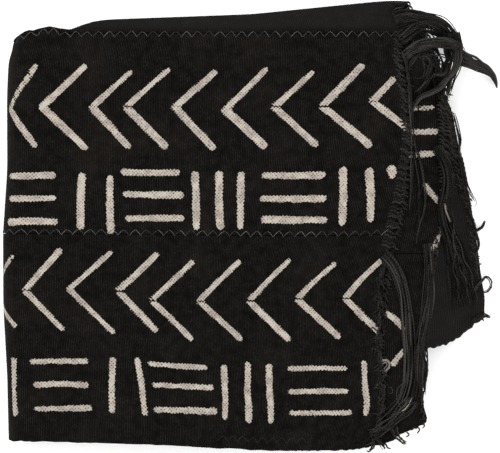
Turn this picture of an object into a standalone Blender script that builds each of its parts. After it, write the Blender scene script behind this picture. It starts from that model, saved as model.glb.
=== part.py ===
"""A bogolan mud cloth, folded into a packet.

Eight hand-woven cotton strips are sewn edge to edge into a cloth of about 1.11 m by 1.6 m.
It is folded across its strips into four layers, a to d from the top down, and that long
band is then folded along the strips into six panels. One cut end stays on top, at the
right, where layers c and d hang over the packet's side and the loose warp ends fray out.

Every piece starts flat, in cloth coordinates: s along the strips from the upper cut end,
t across the strips from layer a's free edge, n through the cloth. One fold map then gives
each point its place, so that nothing can cross anything else.
"""
import math
import random

import bmesh
import bpy
from mathutils import Vector

COLLECTION_NAME = "bogolan_mud_cloth"

# The cloth
THICKNESS = 0.0011
LAYER_PITCH = 0.0015
SEAM_GAP = 0.0003
STRIP_WIDTHS = (0.145, 0.140, 0.138, 0.138, 0.137, 0.137, 0.136, 0.135)
CLOTH_WIDTH = sum(STRIP_WIDTHS)

# The packet, with its left side at -X and its lower edge at -Y
FREE_EDGE_Y = -0.1498
TOP_FOLD_Y = 0.1366
BOTTOM_FOLD_Y = -0.1492
INNER_FOLD_Y = 0.1359
UPPER_END_X = 0.1064
LEFT_TURN_X = -0.1509
RIGHT_TURN_X = 0.097
INNER_END_X = 0.092
PANELS = 6
# The middle of the finished packet, loose ends and all, which becomes the origin
MIDDLE = (0.0043, 0.0013, 0.0)
PACK_HEIGHT = 4 * LAYER_PITCH

# Folds across the strips: a run in Y, then a half turn to the right (1) or the left (-1)
RIGHT = 1
LEFT = -1
ENDS = 0
LAYER_TURN = LAYER_PITCH / 2
TURN_LENGTH = math.pi * LAYER_TURN
ACROSS = (
    # run, turn radius, turn
    (TOP_FOLD_Y - FREE_EDGE_Y, LAYER_TURN, RIGHT),
    (TOP_FOLD_Y - BOTTOM_FOLD_Y, LAYER_TURN, LEFT),
    (INNER_FOLD_Y - BOTTOM_FOLD_Y, LAYER_TURN, RIGHT),
    (CLOTH_WIDTH, LAYER_TURN, ENDS),
)
LAYER_A_START = 0.0
LAYER_B_START = ACROSS[0][0] + TURN_LENGTH
LAYER_C_START = LAYER_B_START + ACROSS[1][0] + TURN_LENGTH
LAYER_D_START = LAYER_C_START + ACROSS[2][0] + TURN_LENGTH
TOP_LEVEL = 1.5 * LAYER_PITCH

# Folds along the strips: a run in X, then a half turn of the whole four-layer band
PANEL_RUN = RIGHT_TURN_X - LEFT_TURN_X
ALONG = (
    # run, turn radius, turn
    (UPPER_END_X - LEFT_TURN_X, 2.5 * PACK_HEIGHT, LEFT),
    (PANEL_RUN, 0.5 * PACK_HEIGHT, LEFT),
    (PANEL_RUN, 1.5 * PACK_HEIGHT, RIGHT),
    (PANEL_RUN, 0.5 * PACK_HEIGHT, RIGHT),
    (PANEL_RUN, 0.5 * PACK_HEIGHT, LEFT),
    (INNER_END_X - LEFT_TURN_X, 0.5 * PACK_HEIGHT, ENDS),
)
TURN_FACETS = (8, 3, 5, 3, 3, 0)
TOP_PANEL_Z = (PANELS - 0.5) * PACK_HEIGHT - (0.5 * LAYER_PITCH - THICKNESS / 2)
CLOTH_LENGTH = sum(run + math.pi * radius * abs(turn) for run, radius, turn in ALONG)

# Where the flat slabs are cut before folding
PANEL_COLUMNS = (1 / 3, 2 / 3)
END_CUTS = (0.010, 0.021, 0.033, 0.046)
LAYER_FACETS = 4
LAYER_ROWS = (-0.105, -0.055, -0.005, 0.040, 0.090)

# The upper cut end isn't straight: its X at each place across the cloth
END_LINE = (
    # t, x
    (0.000, 0.086), (0.030, 0.0935), (0.072, 0.0900), (0.114, 0.0910), (0.150, 0.1010),
    (0.191, 0.1100), (0.212, 0.1130), (0.240, 0.1105), (0.268, 0.1060), (0.289, 0.1070),
    (0.340, 0.1090), (0.410, 0.1040), (0.445, 0.0960), (0.515, 0.0870), (0.574, 0.0850),
    (0.590, 0.1150), (0.640, 0.1165), (0.685, 0.1280), (0.735, 0.1395), (0.815, 0.1365),
    (0.845, 0.1270), (0.876, 0.1130), (0.906, 0.1310), (0.938, 0.1450), (1.000, 0.1560),
    (1.040, 0.1610), (1.070, 0.1670), (1.090, 0.1720), (1.108, 0.1715),
)
END_SHIFT_FADE = 0.16

# How the packet sits: its outline leaves the straight by these shifts
LEFT_SIDE = (
    # y, shift of the left side in X
    (-0.150, -0.0008), (-0.105, -0.0018), (-0.055, -0.0046), (-0.005, -0.0048),
    (0.040, -0.0014), (0.090, -0.0008), (0.137, 0.0040),
)
INNER_FOLD = (
    # x, shift of the fold between layers c and d in Y
    (-0.129, 0.0), (-0.104, 0.0076), (0.000, 0.0121), (0.105, 0.0226),
)
LOWER_EDGE = (
    # x, drop of the packet's lower edge
    (-0.151, 0.0), (-0.068, 0.0022), (0.0144, 0.0066), (0.097, 0.0062),
)
LOFT_ALONG = (
    # x, share by which the packet stands higher
    (-0.151, 0.0), (-0.068, -0.035), (0.0144, -0.030), (0.097, -0.012),
)
LOFT_ACROSS = (
    # y, share by which the packet stands higher
    (-0.150, -0.012), (-0.055, 0.006), (-0.005, -0.005), (0.040, 0.007), (0.137, -0.012),
)

# Layers c and d fall from the packet's right side to the surface that it rests on,
# and the four layers fan a little apart there
FALL_START_X = 0.106
FALL_END_X = 0.160
FAN_START_X = 0.097
FAN_END_X = 0.125
FAN_LIFT = 0.0016
LOWEST_LEVEL = -1.5 * LAYER_PITCH - THICKNESS / 2
CORNER_RISE = 0.0224
CORNER_START_X = 0.124
CORNER_RISE_RUN = 0.049
CORNER_FROM_T = 1.0

# Loose warp ends: a backing as thick as the cloth, parted from its cut end
END_GAP = 0.0004
BACKING_WIDTH = 0.004
TAPER = 0.45
RING_SPACING = 0.010
HANG_SPACING = 0.016
BEND_RADIUS = 0.006
BEND_ANGLES = (math.pi / 4, math.pi / 2)
RAGGED = 0.2
TIP_SPREAD = 0.006
SEED = 7
LAYERS = {
    # start across the cloth, length of its cut end
    "a": (LAYER_A_START, ACROSS[0][0]),
    "b": (LAYER_B_START, ACROSS[1][0]),
    "c": (LAYER_C_START, ACROSS[2][0]),
    "d": (LAYER_D_START, CLOTH_WIDTH - LAYER_D_START),
}
SHORT_LOCKS = (
    # layer, first t, last t, locks, length, width
    ("a", 0.005, 0.281, 30, 0.008, 0.0045),
    ("b", 0.295, 0.428, 12, 0.005, 0.0045),
    ("c", 0.583, 0.674, 8, 0.005, 0.0045),
    ("d", 1.003, 1.101, 10, 0.006, 0.0045),
)
LONG_LOCKS = (
    # layer, first t, last t, locks, first and last x swung out to, first and last y of the
    # tips, lean of the hanging part, width
    ("b", 0.441, 0.530, 5, 0.1290, 0.1155, -0.144, -0.138, 0.0, 0.0022),
    ("c", 0.703, 0.765, 5, 0.1430, 0.1560, -0.078, -0.045, 0.10, 0.0022),
    ("c", 0.797, 0.850, 4, 0.1450, 0.1570, 0.078, 0.070, 0.0, 0.0024),
    ("d", 0.881, 0.925, 5, 0.1720, 0.1550, 0.096, 0.084, 0.0, 0.0024),
    ("d", 0.951, 0.980, 3, 0.1730, 0.1660, 0.027, 0.030, 0.05, 0.0022),
)
SWAY = 0.0011
SWAY_LENGTH = 0.052
INNER_LOCKS = 8
INNER_LOCK = 0.009
INNER_WIDTH = 0.007


def new_material(name, colour, roughness):
    material = bpy.data.materials.new(name)
    material.use_nodes = True
    shader = material.node_tree.nodes["Principled BSDF"]
    shader.inputs["Base Color"].default_value = colour
    shader.inputs["Roughness"].default_value = roughness
    shader.inputs["Metallic"].default_value = 0.0
    return material


def read_along(rows, place):
    """The value of a two-column table at a place, straight between its rows."""
    if place <= rows[0][0]:
        return rows[0][1]
    for (before, low), (after, high) in zip(rows, rows[1:]):
        if place <= after:
            return low + (high - low) * (place - before) / (after - before)
    return rows[-1][1]


def trace(path, start, heading, distance, side):
    """A point beside a path of level runs and half turns; side is the offset to its right."""
    along, height = start
    for run, radius, turn in path:
        if distance <= run or turn == ENDS:
            break
        distance -= run
        along += heading * run
        centre = height - heading * turn * radius
        if distance < math.pi * radius:
            reach = radius - turn * side
            angle = distance / radius
            swing = heading * turn * reach * math.cos(angle)
            return along + heading * reach * math.sin(angle), centre + swing
        distance -= math.pi * radius
        height = 2 * centre - height
        heading = -heading
    return along + heading * distance, height - heading * side


def smooth_step(value):
    """0 below 0, 1 above 1, with an even curve between."""
    value = min(max(value, 0.0), 1.0)
    return value * value * (3 - 2 * value)


def loft_at(x, y):
    """How much higher than its nominal height the packet stands at a place."""
    return 1 + read_along(LOFT_ALONG, x) + read_along(LOFT_ACROSS, y)


def lay(x, level, layer_level, loft):
    """The height of a point of the top panel, which falls away past the packet's right side."""
    lowest = (TOP_PANEL_Z + LOWEST_LEVEL) * loft
    layers_below = layer_level / LAYER_PITCH + 1.5
    fan = smooth_step((x - FAN_START_X) / (FAN_END_X - FAN_START_X))
    lift = FAN_LIFT * fan * layers_below
    share = (x - FALL_START_X) / (FALL_END_X - FALL_START_X)
    slope = 0.0
    if 0 < share < 1:
        slope = lowest * 6 * share * (1 - share) / (FALL_END_X - FALL_START_X)
    stretch = loft * math.hypot(1, slope)
    return lowest * (1 - smooth_step(share)) + (level - LOWEST_LEVEL) * stretch + lift


def fold(s, t, n):
    """The place of a point of the flat cloth in the folded packet."""
    row, level = trace(ACROSS, (FREE_EDGE_Y, TOP_LEVEL), 1, t, -n)
    layer_level = trace(ACROSS, (FREE_EDGE_Y, TOP_LEVEL), 1, t, 0.0)[1]
    x, z = trace(ALONG, (UPPER_END_X, TOP_PANEL_Z), -1, s, level)
    loft = loft_at(x, row)
    fade = min(1.0, max(0.0, 1 - s / END_SHIFT_FADE))
    x += fade * (read_along(END_ROWS, t) - UPPER_END_X)
    in_layer_c = (t - LAYER_C_START) / (LAYER_D_START - LAYER_C_START)
    y = row + read_along(INNER_FOLD, x) * min(max(in_layer_c, 0.0), 1.0)
    across = max((TOP_FOLD_Y - row) / (TOP_FOLD_Y - FREE_EDGE_Y), 0.0)
    y -= read_along(LOWER_EDGE, x) * across ** 2
    near_left = (RIGHT_TURN_X - x) / (RIGHT_TURN_X - LEFT_TURN_X)
    x += read_along(LEFT_SIDE, row) * min(max(near_left, 0.0), 1.0)
    if t > CORNER_FROM_T and s < END_SHIFT_FADE:
        rise = min(max((x - CORNER_START_X) / CORNER_RISE_RUN, 0.0), 1.0)
        y += CORNER_RISE * rise * (t - CORNER_FROM_T) / (CLOTH_WIDTH - CORNER_FROM_T)
    if s > ALONG[0][0]:
        return x, y, z * loft
    return x, y, lay(x, level, layer_level, loft)


def stations_along():
    """Where the strips are cut along their length: panel columns and the facets of turns."""
    cuts = list(END_CUTS)
    place = 0.0
    for index, (run, radius, turn) in enumerate(ALONG):
        shift = run - PANEL_RUN if index == 0 else 0.0
        cuts += [place + shift + share * PANEL_RUN for share in PANEL_COLUMNS]
        place += run
        if turn == ENDS:
            continue
        facets = TURN_FACETS[index]
        cuts += [place + math.pi * radius * step / facets for step in range(facets + 1)]
        place += math.pi * radius
    return sorted(cuts)


def stations_across():
    """Where the strips are cut across their width: the packet's rows and the layer turns."""
    cuts = []
    place, y, heading = 0.0, FREE_EDGE_Y, 1
    for run, radius, turn in ACROSS:
        cuts += [place + heading * (row - y) for row in LAYER_ROWS
                 if 0 < heading * (row - y) < run]
        place += run
        y += heading * run
        heading = -heading
        if turn != ENDS:
            cuts += [place + TURN_LENGTH * step / LAYER_FACETS
                     for step in range(LAYER_FACETS + 1)]
            place += TURN_LENGTH
    return sorted(cuts)


def flat_slab(s_low, s_high, t_low, t_high, s_cuts, t_cuts):
    """A flat piece of cloth as a mesh in cloth coordinates, cut across at each station."""
    slab = bmesh.new()
    bmesh.ops.create_cube(slab, size=1.0)
    size = (s_high - s_low, t_high - t_low, THICKNESS)
    bmesh.ops.scale(slab, vec=size, verts=slab.verts)
    middle = ((s_low + s_high) / 2, (t_low + t_high) / 2, 0.0)
    bmesh.ops.translate(slab, vec=middle, verts=slab.verts)
    for axis, cuts, low, high in ((0, s_cuts, s_low, s_high), (1, t_cuts, t_low, t_high)):
        for cut in cuts:
            if not low + SEAM_GAP < cut < high - SEAM_GAP:
                continue
            place = [0.0, 0.0, 0.0]
            normal = [0.0, 0.0, 0.0]
            place[axis] = cut
            normal[axis] = 1.0
            everything = slab.verts[:] + slab.edges[:] + slab.faces[:]
            bmesh.ops.bisect_plane(slab, geom=everything, plane_co=place, plane_no=normal)
    return slab


def fold_mesh(slab):
    """Moves each point of a flat slab to its place in the folded packet."""
    for vertex in slab.verts:
        vertex.co = fold(*vertex.co)


def finish_object(name, mesh_data, collection, material):
    """An object from a finished bmesh, in triangles, with its faces pointing out."""
    bmesh.ops.triangulate(mesh_data, faces=mesh_data.faces)
    bmesh.ops.recalc_face_normals(mesh_data, faces=mesh_data.faces)
    bmesh.ops.translate(mesh_data, vec=-Vector(MIDDLE), verts=mesh_data.verts)
    mesh = bpy.data.meshes.new(name)
    mesh_data.to_mesh(mesh)
    mesh_data.free()
    mesh.shade_smooth()
    mesh.set_sharp_from_angle(angle=math.radians(50))
    mesh.materials.append(material)
    piece = bpy.data.objects.new(name, mesh)
    collection.objects.link(piece)
    return piece


def strip_edges():
    """The places across the cloth where one strip ends and the next begins."""
    edges = [0.0]
    for width in STRIP_WIDTHS:
        edges.append(edges[-1] + width)
    return edges


def spread(first, last, count):
    """Even steps from the first value to the last."""
    if count == 1:
        return [first]
    return [first + (last - first) * index / (count - 1) for index in range(count)]


def lock_routes(layer, picker):
    """Each loose lock of a layer: its root, its width, and its kind of route with its sizes."""
    locks = []
    for name, first, last, count, length, width in SHORT_LOCKS:
        if name != layer:
            continue
        for root in spread(first, last, count):
            reach = length * (1 + RAGGED * picker.uniform(-1, 1))
            lean = RAGGED * length * picker.uniform(-1, 1)
            locks.append((root, width, short_route, (reach, lean)))
    for name, first, last, count, x_first, x_last, y_first, y_last, lean, width in LONG_LOCKS:
        if name != layer:
            continue
        places = zip(spread(first, last, count), spread(x_first, x_last, count),
                     spread(y_first, y_last, count))
        for root, x, y in places:
            ragged = TIP_SPREAD * picker.uniform(-1, 1)
            locks.append((root, width, long_route, (x, y + ragged, lean)))
    return locks


def short_route(start, reach, lean):
    """A short lock's way in plan: straight out from the cut end."""
    x, y = start.x, start.y
    return [(x + reach * 0.5, y + lean * 0.3), (x + reach, y + lean)]


def long_route(start, swing_x, tip_y, lean):
    """A long lock's way in plan: out, round a quarter turn, and down beside the cut end."""
    x, y = start.x, start.y
    out = swing_x - x
    bend = min(out * 0.6, BEND_RADIUS)
    steps = max(1, math.ceil((out - bend) / RING_SPACING))
    points = [(x + (out - bend) * (step + 1) / steps, y) for step in range(steps)]
    for angle in BEND_ANGLES:
        points.append((swing_x - bend * (1 - math.sin(angle)), y - bend * (1 - math.cos(angle))))
    top_y = y - bend
    steps = math.ceil((top_y - tip_y) / HANG_SPACING)
    for step in range(steps):
        drop = (top_y - tip_y) * (step + 1) / steps
        sway = SWAY * math.sin(2 * math.pi * (top_y - drop) / SWAY_LENGTH)
        points.append((swing_x + lean * drop + sway, top_y - drop))
    return points


def grow_lock(backing, root, level, route, width):
    """Draws a root face of the backing out along its route, ring by ring, to a fine tip."""
    face = root
    before = face.calc_center_median()
    corners = [(math.copysign(1, vertex.co.y - before.y),
                math.copysign(1, vertex.co.z - before.z)) for vertex in face.verts]
    for step, point in enumerate(route):
        after = route[min(step + 1, len(route) - 1)]
        heading = math.atan2(after[1] - before[1], after[0] - before[0])
        before = point
        half = width * (1 - TAPER * (step + 1) / len(route)) / 2
        face = bmesh.ops.extrude_discrete_faces(backing, faces=[face])["faces"][0]
        for vertex, (sideways, upward) in zip(face.verts, corners):
            x = point[0] - math.sin(heading) * sideways * half
            y = point[1] + math.cos(heading) * sideways * half
            height = level + upward * THICKNESS / 2
            vertex.co = (x, y, lay(x, height, level, loft_at(x, y)))


def cut_backing(s_low, s_high, start, length, roots):
    """A flat strip of cloth, cut at the strips' own stations and on both sides of each root."""
    cuts = [t for t in END_STATIONS if start < t < start + length]
    for root, width in roots:
        cuts += [root - width / 2, root + width / 2]
    return flat_slab(s_low, s_high, start, start + length, (), sorted(cuts))


def root_faces(backing, wall_s, roots):
    """The faces of a flat backing's outer wall that locks grow from, one for each root."""
    faces = {}
    for face in backing.faces:
        middle = face.calc_center_median()
        if abs(middle.x - wall_s) > END_GAP / 3:
            continue
        for root, width in roots:
            if abs(middle.y - root) < width / 2 and root not in faces:
                faces[root] = face
    return faces


def build_upper_fringe(layer, collection, material):
    """The loose warp ends of one layer at the upper cut end, fused into their backing."""
    start, length = LAYERS[layer]
    locks = lock_routes(layer, random.Random(SEED + ord(layer)))
    roots = [(root, width) for root, width, draw, sizes in locks]
    outer = -END_GAP - BACKING_WIDTH
    backing = cut_backing(outer, -END_GAP, start, length, roots)
    faces = root_faces(backing, outer, roots)
    fold_mesh(backing)
    level = trace(ACROSS, (FREE_EDGE_Y, TOP_LEVEL), 1, start + length / 2, 0.0)[1]
    for root, width, draw, sizes in locks:
        route = draw(faces[root].calc_center_median(), *sizes)
        grow_lock(backing, faces[root], level, route, width)
    return finish_object(f"warp_ends_{layer}", backing, collection, material)


def build_inner_fringe(layer, collection, material):
    """The straight loose ends of one layer at the inner cut end."""
    start, length = LAYERS[layer]
    inner = CLOTH_LENGTH + END_GAP
    outer = inner + BACKING_WIDTH
    places = spread(start + length * 0.05, start + length * 0.95, INNER_LOCKS)
    roots = [(place, INNER_WIDTH) for place in places]
    backing = cut_backing(inner, outer, start, length, roots)
    for root, face in root_faces(backing, outer, roots).items():
        tip = bmesh.ops.extrude_discrete_faces(backing, faces=[face])["faces"][0]
        bmesh.ops.translate(backing, vec=(INNER_LOCK, 0.0, 0.0), verts=tip.verts)
        for vertex in tip.verts:
            vertex.co.y = root + (vertex.co.y - root) * (1 - TAPER)
    fold_mesh(backing)
    return finish_object(f"inner_ends_{layer}", backing, collection, material)


def build_strips(collection, material):
    """The woven strips, each folded through every panel, a seam's gap from its neighbours."""
    s_cuts = stations_along()
    edges = strip_edges()
    for number, (low, high) in enumerate(zip(edges, edges[1:]), start=1):
        low += SEAM_GAP / 2 if number > 1 else 0.0
        high -= SEAM_GAP / 2 if number < len(STRIP_WIDTHS) else 0.0
        strip = flat_slab(0.0, CLOTH_LENGTH, low, high, s_cuts, END_STATIONS)
        fold_mesh(strip)
        finish_object(f"strip_{number}", strip, collection, material)


# The cut end runs straight between the stations where the strips are cut across
END_STATIONS = stations_across()
END_ROWS = [(t, read_along(END_LINE, t)) for t in sorted(END_STATIONS + strip_edges())]


def main():
    for item in list(bpy.data.objects):
        bpy.data.objects.remove(item, do_unlink=True)
    collection = bpy.data.collections.new(COLLECTION_NAME)
    bpy.context.scene.collection.children.link(collection)
    dyed = new_material("mud_dyed_cotton", (0.012, 0.010, 0.009, 1.0), 0.95)
    loose = new_material("loose_warp_cotton", (0.030, 0.026, 0.024, 1.0), 0.95)
    build_strips(collection, dyed)
    for layer in LAYERS:
        build_upper_fringe(layer, collection, loose)
        build_inner_fringe(layer, collection, loose)


main()
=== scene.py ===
# %% [markdown]
# # Dressing a folded mud cloth
# The real thing is a heavy hand-woven cotton cloth, dyed nearly black with mud and plant
# juices, with pale marks left in the dye. It lies folded into a square packet. The packed
# model gives its construction. This script gives it its looks: a fine woven sheet on every
# fold, the painted marks, the zigzag sewing, and the loose yarns of its frayed end.

# %% Load the frame
import math
import random

import bpy
import numpy as np
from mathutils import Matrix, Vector
from mathutils.bvhtree import BVHTree


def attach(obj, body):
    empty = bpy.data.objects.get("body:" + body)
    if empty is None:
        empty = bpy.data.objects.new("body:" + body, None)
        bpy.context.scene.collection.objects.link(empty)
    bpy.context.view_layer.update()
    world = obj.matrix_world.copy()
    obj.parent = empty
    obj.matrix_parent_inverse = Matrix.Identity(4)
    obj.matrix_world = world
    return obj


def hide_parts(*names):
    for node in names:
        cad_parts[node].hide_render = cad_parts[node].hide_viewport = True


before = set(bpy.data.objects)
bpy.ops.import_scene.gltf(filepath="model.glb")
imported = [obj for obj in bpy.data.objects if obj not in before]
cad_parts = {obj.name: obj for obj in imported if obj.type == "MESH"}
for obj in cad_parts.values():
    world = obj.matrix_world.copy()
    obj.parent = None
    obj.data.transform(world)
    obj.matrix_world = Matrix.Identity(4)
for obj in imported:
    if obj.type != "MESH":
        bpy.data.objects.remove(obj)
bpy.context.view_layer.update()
print("nodes in the frame:", len(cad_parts))

# %% [markdown]
# ## Sizes of the cloth and of its folds
# A folded cloth could be sculpted, but then its layers would soon run through each other.
# It is safer to lay the flat cloth out in its own coordinates and to fold that with one
# map. The sizes below are the ones that the construction was made with, in metres.

# %% Name the sizes of the cloth
THICKNESS = 0.0011
LAYER_PITCH = 0.0015
SEAM_GAP = 0.0003
STRIP_WIDTHS = (0.145, 0.140, 0.138, 0.138, 0.137, 0.137, 0.136, 0.135)
CLOTH_WIDTH = sum(STRIP_WIDTHS)
STRIP_EDGES = [sum(STRIP_WIDTHS[:count]) for count in range(len(STRIP_WIDTHS) + 1)]
print("strips:", len(STRIP_WIDTHS), "cloth width:", round(CLOTH_WIDTH, 3))

# %% Name the sizes of the packet
FREE_EDGE_Y = -0.1498
TOP_FOLD_Y = 0.1366
BOTTOM_FOLD_Y = -0.1492
INNER_FOLD_Y = 0.1359
UPPER_END_X = 0.1064
LEFT_TURN_X = -0.1509
RIGHT_TURN_X = 0.097
INNER_END_X = 0.092
PANELS = 6
MIDDLE = np.array((0.0043, 0.0013, 0.0))
PACK_HEIGHT = 4 * LAYER_PITCH
RIGHT = 1
LEFT = -1
ENDS = 0

# %% Name the folds across the strips and along them
LAYER_TURN = LAYER_PITCH / 2
TURN_LENGTH = math.pi * LAYER_TURN
TOP_LEVEL = 1.5 * LAYER_PITCH
ACROSS = (
    # run, turn radius, turn
    (TOP_FOLD_Y - FREE_EDGE_Y, LAYER_TURN, RIGHT),
    (TOP_FOLD_Y - BOTTOM_FOLD_Y, LAYER_TURN, LEFT),
    (INNER_FOLD_Y - BOTTOM_FOLD_Y, LAYER_TURN, RIGHT),
    (CLOTH_WIDTH, LAYER_TURN, ENDS),
)
PANEL_RUN = RIGHT_TURN_X - LEFT_TURN_X
ALONG = (
    # run, turn radius, turn
    (UPPER_END_X - LEFT_TURN_X, 2.5 * PACK_HEIGHT, LEFT),
    (PANEL_RUN, 0.5 * PACK_HEIGHT, LEFT),
    (PANEL_RUN, 1.5 * PACK_HEIGHT, RIGHT),
    (PANEL_RUN, 0.5 * PACK_HEIGHT, RIGHT),
    (PANEL_RUN, 0.5 * PACK_HEIGHT, LEFT),
    (INNER_END_X - LEFT_TURN_X, 0.5 * PACK_HEIGHT, ENDS),
)
LAYER_B_START = ACROSS[0][0] + TURN_LENGTH
LAYER_C_START = LAYER_B_START + ACROSS[1][0] + TURN_LENGTH
LAYER_D_START = LAYER_C_START + ACROSS[2][0] + TURN_LENGTH
TOP_PANEL_Z = (PANELS - 0.5) * PACK_HEIGHT - (0.5 * LAYER_PITCH - THICKNESS / 2)
CLOTH_LENGTH = sum(run + math.pi * radius * abs(turn) for run, radius, turn in ALONG)
print("cloth length:", round(CLOTH_LENGTH, 3))

# %% [markdown]
# ## How uneven the packet lies
# Nobody folds a cloth dead straight. The cut end on top wanders, the left side bows, the
# lower edge drops to the right and ripples, and the packet is a little thicker in some
# places. Each of these is a short table read along one direction. At the right the top
# panel's layers fan apart a little and fall to the floor.

# %% Name the packet's unevenness
END_SHIFT_FADE = 0.16
END_LINE = (
    # t, x of the upper cut end
    (0.000, 0.086), (0.030, 0.0935), (0.072, 0.0900), (0.114, 0.0910), (0.150, 0.1010),
    (0.191, 0.1100), (0.212, 0.1130), (0.240, 0.1105), (0.268, 0.1060), (0.289, 0.1070),
    (0.340, 0.1090), (0.410, 0.1040), (0.445, 0.0960), (0.515, 0.0870), (0.574, 0.0880),
    (0.5775, 0.0985), (0.580, 0.1080), (0.582, 0.1140), (0.5835, 0.1205), (0.586, 0.1245),
    (0.590, 0.1245), (0.595, 0.1220), (0.606, 0.1210), (0.612, 0.1215), (0.625, 0.1225),
    (0.640, 0.1225), (0.655, 0.1230), (0.685, 0.1280), (0.735, 0.1395), (0.815, 0.1365),
    (0.845, 0.1230), (0.860, 0.1105), (0.880, 0.1090), (0.906, 0.1275), (0.938, 0.1420),
    (0.975, 0.1490), (1.000, 0.1550), (1.040, 0.1600), (1.070, 0.1630), (1.090, 0.1655),
    (1.108, 0.1650),
)
LEFT_SIDE = (
    # y, shift of the left side in X
    (-0.150, -0.0008), (-0.105, -0.0018), (-0.055, -0.0046), (-0.005, -0.0048),
    (0.040, -0.0018), (0.090, -0.0020), (0.115, -0.0010), (0.137, 0.0030),
)
INNER_FOLD = (
    # x, shift of the fold between layers c and d in Y
    (-0.1285, 0.0), (-0.1162, 0.0058), (-0.104, 0.0078), (0.000, 0.0116), (0.090, 0.0206),
    (0.105, 0.0212), (0.120, 0.0195),
)
LOWER_EDGE = (
    # x, drop of the packet's lower edge
    (-0.151, 0.0), (-0.068, 0.0022), (0.0144, 0.0066), (0.072, 0.0062), (0.085, 0.0034),
    (0.097, 0.0012), (0.108, -0.0020),
)
EDGE_RIPPLE = 0.0004
TOP_CORNER = (
    # x, shift in Y that rounds the corner at the top left
    (-0.1700, -0.0085), (-0.1645, -0.0055), (-0.1610, -0.0030), (-0.1575, -0.0010),
    (-0.1540, 0.0),
)
FOLD_EAR = (
    # x, shift in Y of the fold between layers a and b, which puffs out beside the corner
    (-0.1540, 0.0), (-0.1510, -0.0008), (-0.1470, 0.0012), (-0.1420, 0.0024),
    (-0.1370, 0.0022), (-0.1320, 0.0006), (-0.1290, -0.0006), (-0.1240, 0.0),
)
NEAR_TOP_Y = 0.112
LOFT_ALONG = (
    # x, share by which the packet stands higher
    (-0.151, 0.0), (-0.068, -0.035), (0.0144, -0.030), (0.097, -0.012),
)
LOFT_ACROSS = (
    # y, share by which the packet stands higher
    (-0.150, -0.012), (-0.055, 0.006), (-0.005, -0.005), (0.040, 0.007), (0.137, -0.012),
)
FALL_START_X = 0.106
FALL_END_X = 0.160
FAN_START_X = 0.097
FAN_END_X = 0.125
FAN_LIFT = 0.0016
LOWEST_LEVEL = -1.5 * LAYER_PITCH - THICKNESS / 2
CORNER_RISE = (
    # x, how far the near corner of the lowest layer is drawn in
    (0.120, 0.0), (0.127, 0.0), (0.1386, 0.0028), (0.1468, 0.0075), (0.1568, 0.0155),
    (0.170, 0.0262),
)
CORNER_FROM_T = 1.0


# %% Read a table softly
SOFT_REACH = 0.006
SOFT_STEPS = 5


def soft_read(rows, place, reach=SOFT_REACH):
    """A two-column table read at each place, rounded where its slope changes."""
    places, values = zip(*rows)
    steps = np.linspace(-reach, reach, SOFT_STEPS)
    return sum(np.interp(place + step, places, values) for step in steps) / len(steps)


def smooth_step(value):
    """0 below 0, 1 above 1, with an even curve between."""
    value = np.clip(value, 0.0, 1.0)
    return value * value * (3 - 2 * value)


print("left side at y = 0:", round(float(soft_read(LEFT_SIDE, 0.0)), 4))

# %% [markdown]
# ## The fold map
# Walking along a folded cloth is a row of level runs and half turns. The same walk serves
# twice: across the strips it stacks four layers, and along them it stacks six panels of
# those four layers. Numpy does it for all points of a sheet at once.


# %% Trace a path of runs and half turns
def trace(path, start, heading, distance, side):
    """Points beside a path of level runs and half turns; side is the offset to its right."""
    along, height = start
    left = np.array(distance, dtype=float)
    found_along = np.zeros_like(left)
    found_height = np.zeros_like(left)
    waiting = np.ones(left.shape, dtype=bool)
    for run, radius, turn in path:
        here = waiting & ((left <= run) | (turn == ENDS))
        found_along = np.where(here, along + heading * left, found_along)
        found_height = np.where(here, height - heading * side, found_height)
        waiting &= ~here
        left = left - run
        along += heading * run
        centre = height - heading * turn * radius
        here = waiting & (left < math.pi * radius)
        reach = radius - turn * side
        angle = left / radius
        swing = heading * turn * reach * np.cos(angle)
        found_along = np.where(here, along + heading * reach * np.sin(angle), found_along)
        found_height = np.where(here, centre + swing, found_height)
        waiting &= ~here
        left = left - math.pi * radius
        height = 2 * centre - height
        heading = -heading
    return found_along, found_height


# %% [markdown]
# ## Soft creases
# Heavy cotton keeps the memory of older folds. Each crease is a line in plan with a width
# and a rise, and a trough has a rise below 0. It raises or lowers the whole stack in
# proportion, so the layers bend together and never touch.

# %% Chart the creases
MM = 0.001
CREASES = (
    # from x, y, to x, y, half width, rise, all in millimetres of the packet's plan
    (-150, 20, 95, 34, 9, -0.55),
    (-60, -150, -48, 135, 8, -0.5),
    (20, -150, 30, -20, 10, 0.5),
    (-150, -70, -20, -84, 11, 0.45),
    (-20, -84, 88, -70, 12, -0.45),
    (60, 10, 70, 136, 9, 0.45),
    (-120, 136, -104, 40, 8, 0.5),
    (-140, -12, 96, -2, 5, 0.35),
    (-120, -146, -100, -90, 8, -0.4),
)


def crease_share(x, y):
    """The share by which creases raise the packet at each place."""
    share = np.zeros_like(x)
    for x_from, y_from, x_to, y_to, width, rise in CREASES:
        start = np.array((x_from, y_from)) * MM
        run = np.array((x_to, y_to)) * MM - start
        along = ((x - start[0]) * run[0] + (y - start[1]) * run[1]) / (run @ run)
        off = np.hypot(x - start[0] - np.clip(along, 0, 1) * run[0],
                       y - start[1] - np.clip(along, 0, 1) * run[1])
        share += rise * MM / TOP_PANEL_Z * np.exp(-(off / (width * MM)) ** 2)
    return share


print("creases:", len(CREASES))


# %% Place the plan and the height of folded points
def loft_at(x, y):
    """How much higher than its nominal height the packet stands at each place."""
    return 1 + soft_read(LOFT_ALONG, x) + soft_read(LOFT_ACROSS, y) + crease_share(x, y)


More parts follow.
